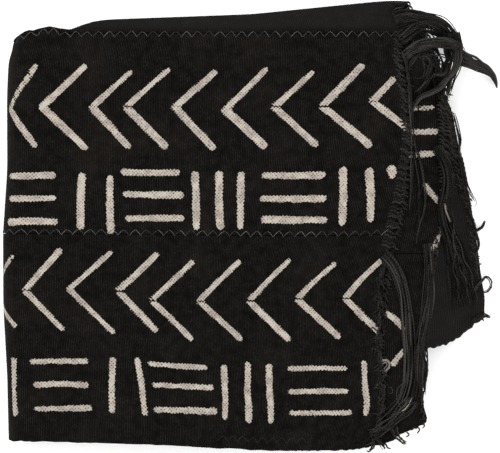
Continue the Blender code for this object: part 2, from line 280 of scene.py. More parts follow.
def plan(x, row, s, t):
    """The uneven plan place of points whose nominal place is x, row."""
    fade = np.clip(1 - s / END_SHIFT_FADE, 0.0, 1.0)
    x = x + fade * (soft_read(END_LINE, t, 0.003) - UPPER_END_X)
    in_layer_c = np.clip((t - LAYER_C_START) / (LAYER_D_START - LAYER_C_START), 0.0, 1.0)
    y = row + soft_read(INNER_FOLD, x) * in_layer_c
    across = np.clip((TOP_FOLD_Y - row) / (TOP_FOLD_Y - FREE_EDGE_Y), 0.0, None)
    ripple = EDGE_RIPPLE * np.sin(x * 900 + 3 * np.sin(x * 170)) * across ** 6
    y = y - soft_read(LOWER_EDGE, x, 0.008) * across ** 2 - ripple
    near_left = np.clip((RIGHT_TURN_X - x) / (RIGHT_TURN_X - LEFT_TURN_X), 0.0, 1.0)
    x = x + soft_read(LEFT_SIDE, row) * near_left
    near_top = smooth_step((row - NEAR_TOP_Y) / (TOP_FOLD_Y - NEAR_TOP_Y))
    ear = np.where(t < LAYER_C_START, soft_read(FOLD_EAR, x, 0.001), 0.0)
    y = y + near_top * (soft_read(TOP_CORNER, x, 0.0015) + ear)
    at_corner = (t > CORNER_FROM_T) & (s < END_SHIFT_FADE)
    share = (t - CORNER_FROM_T) / (CLOTH_WIDTH - CORNER_FROM_T)
    return x, y + np.where(at_corner, soft_read(CORNER_RISE, x, 0.003) * share, 0.0)


def lay(x, level, layer_level, loft):
    """The height of points of the top panel, which falls away past the packet's side."""
    lowest = (TOP_PANEL_Z + LOWEST_LEVEL) * loft
    layers_below = layer_level / LAYER_PITCH + 1.5
    lift = FAN_LIFT * layers_below * smooth_step((x - FAN_START_X) / (FAN_END_X - FAN_START_X))
    share = (x - FALL_START_X) / (FALL_END_X - FALL_START_X)
    slope = 6 * lowest * share * (1 - share) / (FALL_END_X - FALL_START_X)
    slope = np.where((share > 0) & (share < 1), slope, 0.0)
    stretch = loft * np.hypot(1, slope)
    return lowest * (1 - smooth_step(share)) + (level - LOWEST_LEVEL) * stretch + lift


# %% Fold points of the flat cloth
def fold(s, t, n):
    """The places of points of the flat cloth in the folded packet, as three columns."""
    s, t, n = np.broadcast_arrays(*(np.asarray(value, dtype=float) for value in (s, t, n)))
    start = (FREE_EDGE_Y, TOP_LEVEL)
    row, level = trace(ACROSS, start, 1, t, -n)
    layer_level = trace(ACROSS, start, 1, t, 0 * n)[1]
    x, z = trace(ALONG, (UPPER_END_X, TOP_PANEL_Z), -1, s, level)
    loft = loft_at(x, row)
    x, y = plan(x, row, s, t)
    z = np.where(s > ALONG[0][0], z * loft, lay(x, level, layer_level, loft))
    return np.stack((x, y, z), axis=-1) - MIDDLE


print("free corner of layer a:", np.round(fold(0.0, 0.0, 0.0), 4))

# %% [markdown]
# ## Chart the painted marks
# The marks are the traditional ones of this cloth: rows of chevrons, and blocks of bars
# that lie by turns along and across the strip. They are charted as single brush strokes,
# in millimetres from the middle of the picture, and then carried back onto the flat cloth.
# So a mark at the left side runs on round the fold.

# %% Chart the chevrons of the top layer
CHEVRONS = (
    # apex x, y, upper arm's reach and rise, lower arm's reach and fall
    (-168.7, 82.6, 19, 30, 19, 27), (-146.3, 83.3, 31, 29, 32, 29),
    (-111.3, 83.3, 28, 25, 27, 28), (-87.5, 83.3, 31, 27, 29, 28),
    (-53.2, 83.3, 29, 25, 28, 29), (-18.2, 81.5, 30, 29, 29, 26),
    (16.1, 83.3, 28, 25, 31, 27), (49.7, 84.0, 29, 29, 35, 28),
    (84.7, 87.5, 16, 16, 27, 20),
    (-189.0, -45.5, 24, 25, 27, 25), (-158.2, -44.8, 25, 28, 28, 28),
    (-127.4, -44.1, 30, 26, 33, 31), (-93.1, -45.5, 28, 26, 28, 28),
    (-70.0, -51.8, 30, 27, 30, 28), (-36.4, -52.5, 29, 28, 31, 27),
    (-1.4, -52.5, 29, 29, 29, 27), (32.2, -51.1, 27, 25, 31, 27),
    (65.8, -50.4, 25, 26, 27, 26),
)
print("chevrons on top:", len(CHEVRONS))

# %% Chart the bars of the top layer
BARS = (
    # from x, y, to x, y
    (-168.4, 35.2, -136.5, 35.9), (-168.4, 19.4, -135.5, 20.0), (-169, 3.2, -134.5, 3.4),
    (-117.6, 37, -118.5, -1.4), (-98, 35.7, -97.5, -4.9),
    (-90, 38.0, -49, 37.6), (-89, 22.6, -47, 22.0), (-87, 5.6, -46, 5.8),
    (-38.5, 38, -37.5, -2), (-21.7, 38.5, -21.0, -1.5), (-6.3, 38, -6.8, -2),
    (8.4, 35.7, 52.5, 36.0), (7, 19.6, 53.2, 19.6), (8.4, 4.9, 53.9, 4.6),
    (65.1, 41, 64.4, 1), (83.3, 40.6, 84.5, 3.5), (98.7, 42, 99.5, 33.6),
    (-164.5, -92.4, -163.5, -132.3),
    (-153.3, -94.5, -114.1, -94.2), (-150.5, -110.6, -113.4, -110.9),
    (-150.5, -127.4, -111.3, -127.0),
    (-95.9, -92.4, -96.6, -129.5), (-79.1, -92.4, -73.5, -131.6),
    (-70.7, -96.0, -30.1, -98.8), (-67.9, -110.9, -25.9, -112.6),
    (-66.5, -128.4, -23.8, -129.2),
    (-18.2, -98, -17.5, -134.4), (-1.4, -95.9, -1.0, -135.8), (13.3, -97.3, 14.5, -136.5),
    (26.6, -99.4, 67.9, -99.4), (27.3, -115.5, 68.6, -115.3), (28, -130.2, 70.7, -130.0),
    (79.8, -94.5, 81.0, -131.6),
)
LAYER_C_MARKS = (
    # from x, y, to x, y, on the layer that shows past the top one at the right
    (92, 82.6, 130.0, 83.4), (92, 65.0, 132.5, 66.8), (92, 49.5, 134.5, 52.0),
    (135.0, 14.5, 121.0, 31.0), (136.5, -1.0, 127.5, -17.5), (108.5, -72.0, 95.2, -60.2),
    (108.5, -86.1, 99.4, -97.3),
)
print("bars on top:", len(BARS))


# %% Carry a charted point back onto the flat cloth
FLAT_TRIES = 12


def flatten(x_mm, y_mm, layer_start):
    """The place s, t on the flat cloth of a charted point of a layer, found by trying."""
    x_aim, y_aim = x_mm * MM, y_mm * MM
    row_start = BOTTOM_FOLD_Y if layer_start > 0 else FREE_EDGE_Y
    s, t = UPPER_END_X - x_aim, y_aim - row_start + layer_start
    for _ in range(FLAT_TRIES):
        row = row_start + t - layer_start
        x, y = plan(np.array(UPPER_END_X - s), np.array(row), np.array(s), np.array(t))
        s += float(x) - x_aim
        t += y_aim - float(y)
    return s, t


print("the middle of the picture is at s, t:", np.round(flatten(0.0, 0.0, 0.0), 3))

# %% [markdown]
# Away from the top the strips carry the same rows at an even pitch. A little seeded
# unevenness keeps them hand-made: every stroke gets its own width and ends.

# %% Name the brush
# Widths of a stroke in metres, and the share of it that is left at the upper arm's tip
CHEVRON_BRUSH = 0.0046
UPPER_TAPER = 0.82
LOWER_ARM_EXTRA = 0.0003
FIRST_BRUSH = 0.0037
FIRST_TAPER = 0.98
LEVEL_BRUSH = 0.0044
UPRIGHT_BRUSH = 0.0053
LOWER_LAYER_BRUSH = 0.0036
BRUSH_SPREAD = 0.0006
# The rows below this y were painted with a thinner brush
LOWER_ROW_Y = -20
LOWER_ROW_BRUSH_SHARE = 0.86
LOWER_ROW_TAPER = 1.0
# The painted arms' shares of their charted reach, and in millimetres the apex's shift, how
# far a bar's ends are drawn in and how far its middle strays
ARM_SHARE = 0.95
UPPER_ARM_SHARE = 0.98
APEX_SHIFT = (0.8, 0.3)
END_PULL = 2.0
LOWER_ROW_END_PULL = 1.1
SWAY = 0.7
APEX_OVERLAPS = (
    # how far each charted chevron's arms reach past each other in mm, below 0 for a gap
    0.2, 0.2, -0.3, -0.65, -0.25, -0.2, -0.65, -0.65, -0.5,
    0.2, -0.4, 0.2, -0.65, -0.6, -0.65, -0.6, -0.5, -0.65,
)
picker = random.Random(11)
print("widest stroke in mm:", round((UPRIGHT_BRUSH + BRUSH_SPREAD) / MM, 1))

# %% Name the repeat
FIRST_MARK = 0.02
CHEVRON_PITCH = 0.0343
PITCH_SPREAD = 0.003
CHEVRON_REACH = 0.029
CHEVRON_RISE = 0.027
BLOCK_PITCH = 0.0987
BLOCK_LENGTH = 0.042
UPRIGHTS_START = 0.052
BAR_PITCH = 0.0160
ROW_PLACES = (
    # chevron row and bar row from the strip's lower edge, way the chevrons point in s
    (0.101, 0.036, 1), (0.088, 0.025, 1), (0.092, 0.030, 1), (0.090, 0.028, 1),
    (0.090, 0.030, -1), (0.042, 0.104, -1), (0.095, 0.060, 1), (0.088, 0.028, 1),
)
REPEAT_STARTS = (0.305, 0.305, 0.0, 0.0, 0.05, 0.05, 0.305, 0.0)
CHARTED_STRIPS = (0, 1, 4, 5)
print("blocks of bars on a whole strip:", int(CLOTH_LENGTH / BLOCK_PITCH))


# %% Turn the chart into strokes on the flat cloth
def stroke(start, end, brush, taper=1.0, side=0, overlap=0.2):
    """One brush stroke on the flat cloth: its ends, its half widths there, the side of its
    start in t that it keeps to, 0 for both, and how far it reaches past that line in mm."""
    width = brush + BRUSH_SPREAD * picker.uniform(-1, 1)
    return (*start, *end, width / 2 * picker.uniform(0.94, 1.08),
            width / 2 * taper * picker.uniform(0.9, 1.08), side, overlap)


def charted_strokes():
    """The strokes of the top layer and of the layer that shows past it."""
    strokes = []
    for chevron, overlap in zip(CHEVRONS, APEX_OVERLAPS):
        x, y, reach_up, rise, reach_down, fall = chevron
        brush, taper = CHEVRON_BRUSH, UPPER_TAPER
        if chevron is CHEVRONS[0]:
            brush, taper = FIRST_BRUSH, FIRST_TAPER
        elif y < LOWER_ROW_Y:
            brush, taper = LOWER_ROW_BRUSH_SHARE * CHEVRON_BRUSH, LOWER_ROW_TAPER
        apex = flatten(x + APEX_SHIFT[0], y + APEX_SHIFT[1], 0.0)
        upper = flatten(x + UPPER_ARM_SHARE * reach_up, y + UPPER_ARM_SHARE * rise, 0.0)
        lower = flatten(x + ARM_SHARE * reach_down, y - ARM_SHARE * fall, 0.0)
        strokes.append(stroke(apex, upper, brush, taper, 1, overlap))
        strokes.append(stroke(apex, lower, brush + LOWER_ARM_EXTRA, 1.0, -1, overlap))
    for marks, layer in ((BARS, 0.0), (LAYER_C_MARKS, LAYER_C_START)):
        for x_from, y_from, x_to, y_to in marks:
            length = math.hypot(x_to - x_from, y_to - y_from)
            across, up = (x_to - x_from) / length, (y_to - y_from) / length
            brush = LEVEL_BRUSH if abs(across) > abs(up) else UPRIGHT_BRUSH
            pull = END_PULL
            if y_to < LOWER_ROW_Y:
                brush, pull = brush * LOWER_ROW_BRUSH_SHARE, LOWER_ROW_END_PULL
            if layer > 0:
                brush = LOWER_LAYER_BRUSH
            sway = SWAY * picker.uniform(-1, 1)
            x_middle = (x_from + x_to) / 2 - sway * up
            y_middle = (y_from + y_to) / 2 + sway * across
            start = flatten(x_from + pull * across, y_from + pull * up, layer)
            middle = flatten(x_middle, y_middle, layer)
            end = flatten(x_to - pull * across, y_to - pull * up, layer)
            strokes += [stroke(start, middle, brush), stroke(middle, end, brush)]
    return strokes


def repeated_strokes(number):
    """The strokes of the plain repeat on one strip, past what is charted."""
    base = STRIP_EDGES[number]
    chevron_t, bar_t, point = ROW_PLACES[number]
    strokes = []
    first = REPEAT_STARTS[number] + FIRST_MARK
    for apex in np.arange(first, CLOTH_LENGTH - CHEVRON_REACH, CHEVRON_PITCH):
        apex += picker.uniform(-PITCH_SPREAD, PITCH_SPREAD)
        for side in (1, -1):
            reach = CHEVRON_REACH * picker.uniform(0.9, 1.08)
            rise = side * CHEVRON_RISE * picker.uniform(0.9, 1.08)
            row = base + chevron_t
            end = (apex - point * reach, row + rise)
            strokes.append(stroke((apex, row), end, CHEVRON_BRUSH, 1.0, side))
    for start in np.arange(first, CLOTH_LENGTH - BLOCK_PITCH, BLOCK_PITCH):
        for step in (-1, 0, 1):
            row = base + bar_t + step * BAR_PITCH
            strokes.append(stroke((start, row), (start + BLOCK_LENGTH, row), LEVEL_BRUSH))
            upright = start + UPRIGHTS_START + (step + 1) * BAR_PITCH
            low = base + bar_t - BLOCK_LENGTH / 2
            strokes.append(stroke((upright, low), (upright, low + BLOCK_LENGTH), UPRIGHT_BRUSH))
    return strokes


strokes_of_strip = [repeated_strokes(number) for number in range(len(STRIP_WIDTHS))]
top_strokes = charted_strokes()
for number in CHARTED_STRIPS:
    strokes_of_strip[number] = strokes_of_strip[number] + top_strokes
print("strokes:", sum(len(strokes) for strokes in strokes_of_strip))


# %% [markdown]
# ## A field that knows how deep inside a mark it is
# A painted texture would need an image. Instead every point of the sheet keeps one number:
# how far it lies inside the nearest stroke, in millimetres, and below 0 outside. The
# material cuts this soft field at 0 and frays the cut along the weave, so the marks stay
# sharp however coarse the sheet is.


# %% Measure the marks
OUTSIDE = -3.0
MARK_MARGIN = 0.007


def mark_field(s_lines, t_lines, strokes):
    """How far inside a stroke each point of a ruled sheet lies, in millimetres."""
    field = np.full((len(s_lines), len(t_lines)), OUTSIDE)
    for s_from, t_from, s_to, t_to, half_from, half_to, side, overlap in strokes:
        first = np.searchsorted(s_lines, min(s_from, s_to) - MARK_MARGIN)
        last = np.searchsorted(s_lines, max(s_from, s_to) + MARK_MARGIN)
        low = np.searchsorted(t_lines, min(t_from, t_to) - MARK_MARGIN)
        high = np.searchsorted(t_lines, max(t_from, t_to) + MARK_MARGIN)
        if first == last or low == high:
            continue
        s = s_lines[first:last, None] - s_from
        t = t_lines[None, low:high] - t_from
        run_s, run_t = s_to - s_from, t_to - t_from
        share = np.clip((s * run_s + t * run_t) / (run_s ** 2 + run_t ** 2), 0.0, 1.0)
        half = half_from + (half_to - half_from) * share
        inside = (half - np.hypot(s - share * run_s, t - share * run_t)) / MM
        if side:
            inside = np.minimum(inside, side * t / MM + overlap)
        block = field[first:last, low:high]
        field[first:last, low:high] = np.maximum(block, inside)
    return field


# %% [markdown]
# ## Weave the sheets
# Each strip is one closed thin sheet with a dyed front and a plain back. It is ruled with
# lines, close together where it shows and wide apart where it is folded away, and every
# crossing is folded by the map. At the selvedges the sheet thins to a soft edge.

# %% Rule a strip with lines
FINE = 0.0016
MIDDLING = 0.004
COARSE = 0.008
TURN_STEP = 0.22
LINES_PER_TURN = 6
SAME_PLACE = 1e-6
PLACE_DIGITS = 7
EDGE_STEPS = (0.0003, 0.0008)
EDGE_SHARE = 0.35


def ruled(stretches, low, high):
    """Places along stretches of (start, end, widest step), and some near both edges."""
    places = [[low + step for step in EDGE_STEPS], [high - step for step in EDGE_STEPS]]
    for start, end, step in stretches:
        if end > start + SAME_PLACE:
            count = max(1, math.ceil((end - start) / step - SAME_PLACE))
            places.append(np.linspace(start, end, count + 1))
    return np.unique(np.round(np.concatenate(places), PLACE_DIGITS))


def lines_along(shown, step):
    """The lines that cross a strip: close to each other on the shown length and in turns."""
    stretches = []
    place = 0.0
    for run, radius, turn in ALONG:
        end = place + run
        middle = min(max(shown, place), end)
        stretches += [(place, middle, step), (middle, end, COARSE)]
        place = end + math.pi * radius * abs(turn)
        if turn != ENDS:
            stretches.append((end, place, radius * TURN_STEP))
    return ruled(stretches, 0.0, CLOTH_LENGTH)


def lines_across(low, high, step):
    """The lines that run along a strip, closer to each other in the layers' turns."""
    stops = [low, high]
    turns = []
    for end in (LAYER_B_START, LAYER_C_START, LAYER_D_START):
        start = end - TURN_LENGTH
        if start < high and end > low:
            turns.append((max(start, low), min(end, high)))
            stops += turns[-1]
    stops = sorted(set(stops))
    stretches = []
    for start, end in zip(stops, stops[1:]):
        in_turn = any(first <= start < last for first, last in turns)
        stretches.append((start, end, TURN_LENGTH / LINES_PER_TURN if in_turn else step))
    return ruled(stretches, low, high)


print("lines across strip 1:", len(lines_across(0.0, STRIP_EDGES[1], FINE)))


# %% [markdown]
# The top layer is free to rise a little by itself. Sewing draws the cloth in, so it puckers
# beside each zigzag seam, and the whole face keeps a slight, slow waviness.


# %% Raise the top layer a little
PUCKER_HEIGHT = 0.00045
PUCKER_LENGTH = 0.0125
PUCKER_REACH = 0.008
WAVE_HEIGHT = 0.0004
SEAM_LAP = 0.0005
SEAM_LAP_WIDTH = 0.006
RISE_FADE = 0.02
SEAM_T = STRIP_EDGES[1]


def top_rise(s, t):
    """How far the top layer lifts off the one below; nothing past the left side."""
    before_side = smooth_step((ALONG[0][0] + RISE_FADE - s) / RISE_FADE)
    shown = before_side * smooth_step((LAYER_B_START - t) / RISE_FADE)
    rise = WAVE_HEIGHT * (1 + np.sin(s * 61 + 1.7 * np.sin(t * 37)) * np.sin(t * 53 + s * 19))
    for seam in (SEAM_T, STRIP_EDGES[2]):
        near = np.exp(-((t - seam) / PUCKER_REACH) ** 2)
        wave = 1 + np.sin(2 * math.pi * s / PUCKER_LENGTH + 2.0 * np.sin(s * 90))
        rise = rise + PUCKER_HEIGHT * near * wave
    lap = np.clip(1 - (t - SEAM_T) / SEAM_LAP_WIDTH, 0.0, 1.0) * (t >= SEAM_T)
    return (rise + SEAM_LAP * lap) * shown


# %% Make one sheet's mesh
def store(mesh, uv_name, uvs, number_name, numbers):
    """Gives a mesh its UVs, one for each face corner, and a number for each vertex."""
    uv_layer = mesh.uv_layers.new(name=uv_name)
    uv_layer.data.foreach_set("uv", uvs.ravel().astype(np.float32))
    attribute = mesh.attributes.new(number_name, "FLOAT", "POINT")
    attribute.data.foreach_set("value", numbers.astype(np.float32))
    mesh.shade_smooth()


def linked(name, data):
    """A new object in the scene, which shows this mesh, light or camera."""
    made = bpy.data.objects.new(name, data)
    bpy.context.scene.collection.objects.link(made)
    return made


def sheet_mesh(name, s_lines, t_lines, strokes, has_rise):
    """A closed thin sheet folded by the map, with its cloth UVs and its mark field."""
    s, t = np.meshgrid(s_lines, t_lines, indexing="ij")
    to_end = np.minimum(s, s_lines[-1] - s)
    to_edge = np.minimum(to_end, np.minimum(t - t_lines[0], t_lines[-1] - t))
    round_off = 1 - np.clip(to_edge / EDGE_STEPS[-1], 0.0, 1.0)
    half = THICKNESS / 2 * np.maximum(np.sqrt(1 - round_off ** 2), EDGE_SHARE)
    rise = top_rise(s, t) if has_rise else 0.0
    front = fold(s, t, half + rise).reshape(-1, 3)
    back = fold(s, t, rise - half).reshape(-1, 3)
    count = len(front)
    index = np.arange(count).reshape(s.shape)
    quads = np.stack((index[:-1, :-1], index[:-1, 1:], index[1:, 1:], index[1:, :-1]), -1)
    quads = quads.reshape(-1, 4)
    rim = np.concatenate((index[0, :-1], index[:-1, -1], index[-1, :0:-1], index[:0:-1, 0]))
    ahead = np.roll(rim, -1)
    walls = np.stack((ahead, rim, rim + count, ahead + count), -1)
    faces = np.concatenate((quads, quads[:, ::-1] + count, walls))
    mesh = bpy.data.meshes.new(name)
    mesh.from_pydata(np.concatenate((front, back)).tolist(), [], faces.tolist())
    corner_vertex = np.zeros(len(mesh.loops), dtype=int)
    mesh.loops.foreach_get("vertex_index", corner_vertex)
    uv = np.stack((s.ravel(), t.ravel()), -1)[corner_vertex % count]
    field = mark_field(s_lines, t_lines, strokes).ravel()
    store(mesh, "cloth", uv, "mark", np.concatenate((field, np.full(count, OUTSIDE))))
    return mesh


# %% Weave all eight strips
SHOWN = (
    # shown length, step along, step across
    (ALONG[0][0], FINE, FINE), (ALONG[0][0], FINE, FINE), (0.02, MIDDLING, MIDDLING),
    (0.02, MIDDLING, MIDDLING), (0.07, FINE, 0.0025), (0.07, FINE, 0.0025),
    (0.07, MIDDLING, MIDDLING), (0.07, MIDDLING, MIDDLING),
)
RISING_STRIPS = 3
sheets = []
for number, (shown, step_along, step_across) in enumerate(SHOWN):
    low = STRIP_EDGES[number] + (SEAM_GAP / 2 if number > 0 else 0.0)
    high = STRIP_EDGES[number + 1] - (SEAM_GAP / 2 if number + 1 < len(SHOWN) else 0.0)
    mesh = sheet_mesh(f"woven_strip_{number + 1}", lines_along(shown, step_along),
                      lines_across(low, high, step_across), strokes_of_strip[number],
                      number < RISING_STRIPS)
    sheet = linked(mesh.name, mesh)
    sheets.append(sheet)
    print(sheet.name, "triangles:", 2 * len(mesh.polygons), "lowest:",
          round(min(vertex.co.z for vertex in mesh.vertices), 5))

# %% [markdown]
# ## Draw yarn
# All thread and yarn is drawn the same way: a line in space gets rings of points round it,
# thinner at the tip, and rings are joined to a tube. Its UVs run along and round the yarn,
# so that the material can twist it, and every yarn keeps its own tone.


# %% Turn lines into yarns
TINY = 1e-12
UPRIGHT = 1e-4


def headings(points):
    """The direction of a line at each of its points."""
    ahead = np.gradient(points, axis=0)
    return ahead / (np.linalg.norm(ahead, axis=1)[:, None] + TINY)


def walked_along(points):
    """How far along a line each of its points is."""
    steps = np.linalg.norm(np.diff(points, axis=0), axis=1)
    return np.concatenate(((0.0,), np.cumsum(steps)))


def yarn_rings(points, radii, sides):
    """The points of one yarn: a ring of them round each point of its line."""
    ahead = headings(points)
    aside = np.cross(ahead, (0.0, 0.0, 1.0))
    length = np.linalg.norm(aside, axis=1)[:, None]
    aside = np.where(length > UPRIGHT, aside / (length + TINY), (1.0, 0.0, 0.0))
    up = np.cross(aside, ahead)
    angles = 2 * math.pi * np.arange(sides) / sides
    ring = (np.cos(angles)[None, :, None] * aside[:, None, :]
            + np.sin(angles)[None, :, None] * up[:, None, :])
    return points[:, None, :] + ring * np.asarray(radii)[:, None, None]


def yarn_mesh(name, yarns):
    """One mesh of many yarns, each given as its line, its radii, its sides and its tone."""
    places, faces, uvs, tones = [], [], [], []
    base = 0
    for points, radii, sides, tone in yarns:
        rings = yarn_rings(points, radii, sides)
        rings[..., 2] = np.maximum(rings[..., 2], 0.0)
        walked = walked_along(points)
        count = len(points)
        index = base + np.arange(count * sides).reshape(count, sides)
        places.append(rings.reshape(-1, 3))
        after = np.roll(index, -1, axis=1)
        quads = np.stack((index[:-1], after[:-1], after[1:], index[1:]), -1).reshape(-1, 4)
        around = np.arange(sides) / sides
        corner_v = np.stack((around, around + 1 / sides, around + 1 / sides, around), -1)
        corner_u = np.stack((walked[:-1], walked[:-1], walked[1:], walked[1:]), -1)
        u = np.repeat(corner_u[:, None, :], sides, axis=1)
        v = np.repeat(corner_v[None, :, :], count - 1, axis=0)
        uvs.append(np.stack((u, v), -1).reshape(-1, 2))
        faces += quads.tolist()
        faces += [index[0, ::-1].tolist(), index[-1].tolist()]
        uvs.append(np.zeros((2 * sides, 2)))
        tones.append(np.full(count * sides, tone))
        base += count * sides
    mesh = bpy.data.meshes.new(name)
    mesh.from_pydata(np.concatenate(places).tolist(), [], faces)
    store(mesh, "yarn", np.concatenate(uvs), "tone", np.concatenate(tones))
    print(name, "yarns:", len(yarns), "faces:", len(mesh.polygons))
    return linked(name, mesh)


# %% [markdown]
# ## Sew the seams
# A pale thread runs in a zigzag over each join, and a dark one shows faintly along a part of
# the free edge's hem. The stitches follow the fold map just above the top layer, so they
# ride over its puckers.

# %% Sew zigzag stitches
THREAD_RADIUS = 0.00017
STITCH_PITCH = 0.0078
STITCH_HEIGHT = 0.0040
STITCH_POINTS = 7
STITCH_BOW = 0.0005
SEAMS = (
    # t of the middle of the stitches, first s, last s, tone of the thread
    (0.0062, 0.050, 0.125, -0.3), (SEAM_T + 0.0010, 0.004, 0.30, 0.5),
    (STRIP_EDGES[2] - 0.0006, 0.004, 0.275, 0.4),
)


def stitch_yarns():
    """The zigzag threads, as yarns on the face of the top layer."""
    yarns = []
    for seam, first, last, tone in SEAMS:
        half_steps = int((last - first) / (STITCH_PITCH / 2))
        for step in range(half_steps):
            side = 1 if step % 2 else -1
            height = STITCH_HEIGHT / 2 * picker.uniform(0.8, 1.1)
            s_from = first + step * STITCH_PITCH / 2 + picker.uniform(-0.0003, 0.0003)
            s = np.linspace(s_from, s_from + STITCH_PITCH / 2, STITCH_POINTS)
            bow = np.sin(np.linspace(0, math.pi, STITCH_POINTS))
            t = seam + side * height * np.linspace(-1, 1, STITCH_POINTS) + STITCH_BOW * bow
            n = THICKNESS / 2 + top_rise(s, t) + THREAD_RADIUS * (1.4 * bow - 0.4)
            radii = THREAD_RADIUS * (0.75 + 0.25 * bow)
            yarns.append((fold(s, t, n), radii, 5, tone + picker.uniform(-0.4, 0.4)))
    return yarns


stitches = yarn_mesh("zigzag_stitches", stitch_yarns())

# %% [markdown]
# ## Lay the loose yarns
# Loose yarns lie on whatever is under them. A height map of the cloth is cast first. Each
# yarn then settles on the map, bridges the steps that it is too stiff to follow, and
# leaves its own height behind, so the next yarn comes to lie on it.

# %% Cast the height map
CELL = 0.001
MAP_LOW = np.array((0.060, -0.175))
MAP_SIZE = (135, 350)
ABOVE_ALL = 0.2


def cast_heights():
    """The height of the cloth's upper face in every cell, 0 where only the floor is."""
    heights = np.zeros(MAP_SIZE)
    trees = []
    for sheet in sheets:
        mesh = sheet.data
        trees.append(BVHTree.FromPolygons([vertex.co for vertex in mesh.vertices],
                                          [face.vertices for face in mesh.polygons]))
    down = Vector((0, 0, -1))
    for column in range(MAP_SIZE[0]):
        for row in range(MAP_SIZE[1]):
            x, y = MAP_LOW + CELL * (np.array((column, row)) + 0.5)
            for tree in trees:
                hit = tree.ray_cast(Vector((x, y, ABOVE_ALL)), down)[0]
                if hit:
                    heights[column, row] = max(heights[column, row], hit.z)
    return heights


heights = cast_heights()
print("highest cloth near the frayed end:", round(float(heights.max()), 4))


# %% Settle a yarn on the map
SMOOTHINGS = 2
SUNK_SHARE = 0.8
ROOT_REACH = 0.006


def cells_at(points):
    """The map's cells under plan points."""
    cells = np.floor((points[:, :2] - MAP_LOW) / CELL).astype(int)
    return np.clip(cells[:, 0], 0, MAP_SIZE[0] - 1), np.clip(cells[:, 1], 0, MAP_SIZE[1] - 1)


def settle(route, radius, stiffness, pile=1.0, root=None):
    """A plan route with its heights, which adds the yarn's share of its pile to the map."""
    sides = ((0, 0), (radius, 0), (-radius, 0), (0, radius), (0, -radius))
    under = np.maximum.reduce([heights[cells_at(route + side)] for side in sides])
    z = under + radius
    gaps = np.linalg.norm(np.diff(route, axis=0), axis=1) * stiffness
    for step in range(1, len(z)):
        z[step] = max(z[step], z[step - 1] - gaps[step - 1])
    for step in range(len(z) - 2, -1, -1):
        z[step] = max(z[step], z[step + 1] - gaps[step])
    lowest = under + radius * SUNK_SHARE
    for _ in range(SMOOTHINGS):
        z[1:-1] = np.maximum((z[:-2] + z[1:-1] + z[2:]) / 3, lowest[1:-1])
    if root is not None:
        z = root + (z - root) * smooth_step(walked_along(route) / ROOT_REACH)
    columns, rows = cells_at(route)
    np.maximum.at(heights, (columns, rows), z + radius * (2 * pile - 1))
    return np.column_stack((route, z))


# %% [markdown]
# ## Crimp the cut ends
# Where the weft has fallen out, each warp yarn keeps the crimp that weaving gave it, and
# the ends lie side by side like the turns of a rope. They are set all along the cut end
# of every layer, and slant down to the right.

# %% Set the short crimped ends
SAMPLE = 0.0009
SWING = 0.55
SWING_LENGTH = 0.0062
SHORT_TONES = (0.10, 0.65)
SHORT_STIFFNESS = 1.4
SHORT_PILE = 0.1
SHORT_ENDS = (
    # layer, first t, last t, pitch, length, slant down, bend, inset of the root, radius
    ("d", 1.060, CLOTH_WIDTH - 0.001, 0.0024, 0.0040, 0.30, 1.0, 0.003, 0.00055),
    ("d", 1.000, 1.060, 0.0024, 0.0080, 0.25, 0.8, 0.005, 0.00070),
    ("d", LAYER_D_START + 0.002, 1.000, 0.0024, 0.0100, 0.30, 0.5, 0.007, 0.00075),
    ("c", 0.740, LAYER_D_START - 0.020, 0.0024, 0.0140, 0.50, 0.3, 0.006, 0.00078),
    ("c", LAYER_C_START + 0.002, 0.740, 0.0026, 0.0060, 0.60, 1.5, 0.003, 0.00060),
    ("b", LAYER_B_START + 0.002, LAYER_C_START - 0.002, 0.0030, 0.0080, 0.60, 0.5, 0.001, 0.0007),
    ("a", 0.228, LAYER_B_START - 0.002, 0.0024, 0.0100, 0.62, 0.2, 0.0068, 0.00076),
    ("a", 0.190, 0.228, 0.0024, 0.0090, 0.30, 0.2, 0.0072, 0.00076),
    ("a", 0.136, 0.190, 0.0024, 0.0105, 0.02, 0.3, 0.0070, 0.00076),
    ("a", 0.001, 0.136, 0.0021, 0.0100, 0.30, 2.6, 0.0030, 0.00060),
    ("a", 0.002, 0.134, 0.0034, 0.0085, -0.40, -2.8, 0.0010, 0.00050),
)
# One more row, beside the fold at the top, which is set after the long yarns
BAND_END = ("c", 0.8440, LAYER_D_START - 0.0005, 0.0021, 0.0075, 0.15, 1.6, 0.0020, 0.00055)
yarns_of_layer = {layer: [] for layer in "abcd"}


def leftward(route):
    """The direction to the left of a plan route at each of its points."""
    ahead = headings(route)
    return np.column_stack((-ahead[:, 1], ahead[:, 0]))


def crimped(route, amount, wave, phase):
    """A plan route with a sideways wave on it."""
    swing = amount * np.sin(2 * math.pi * walked_along(route) / wave + phase)
    return route + leftward(route) * swing[:, None]


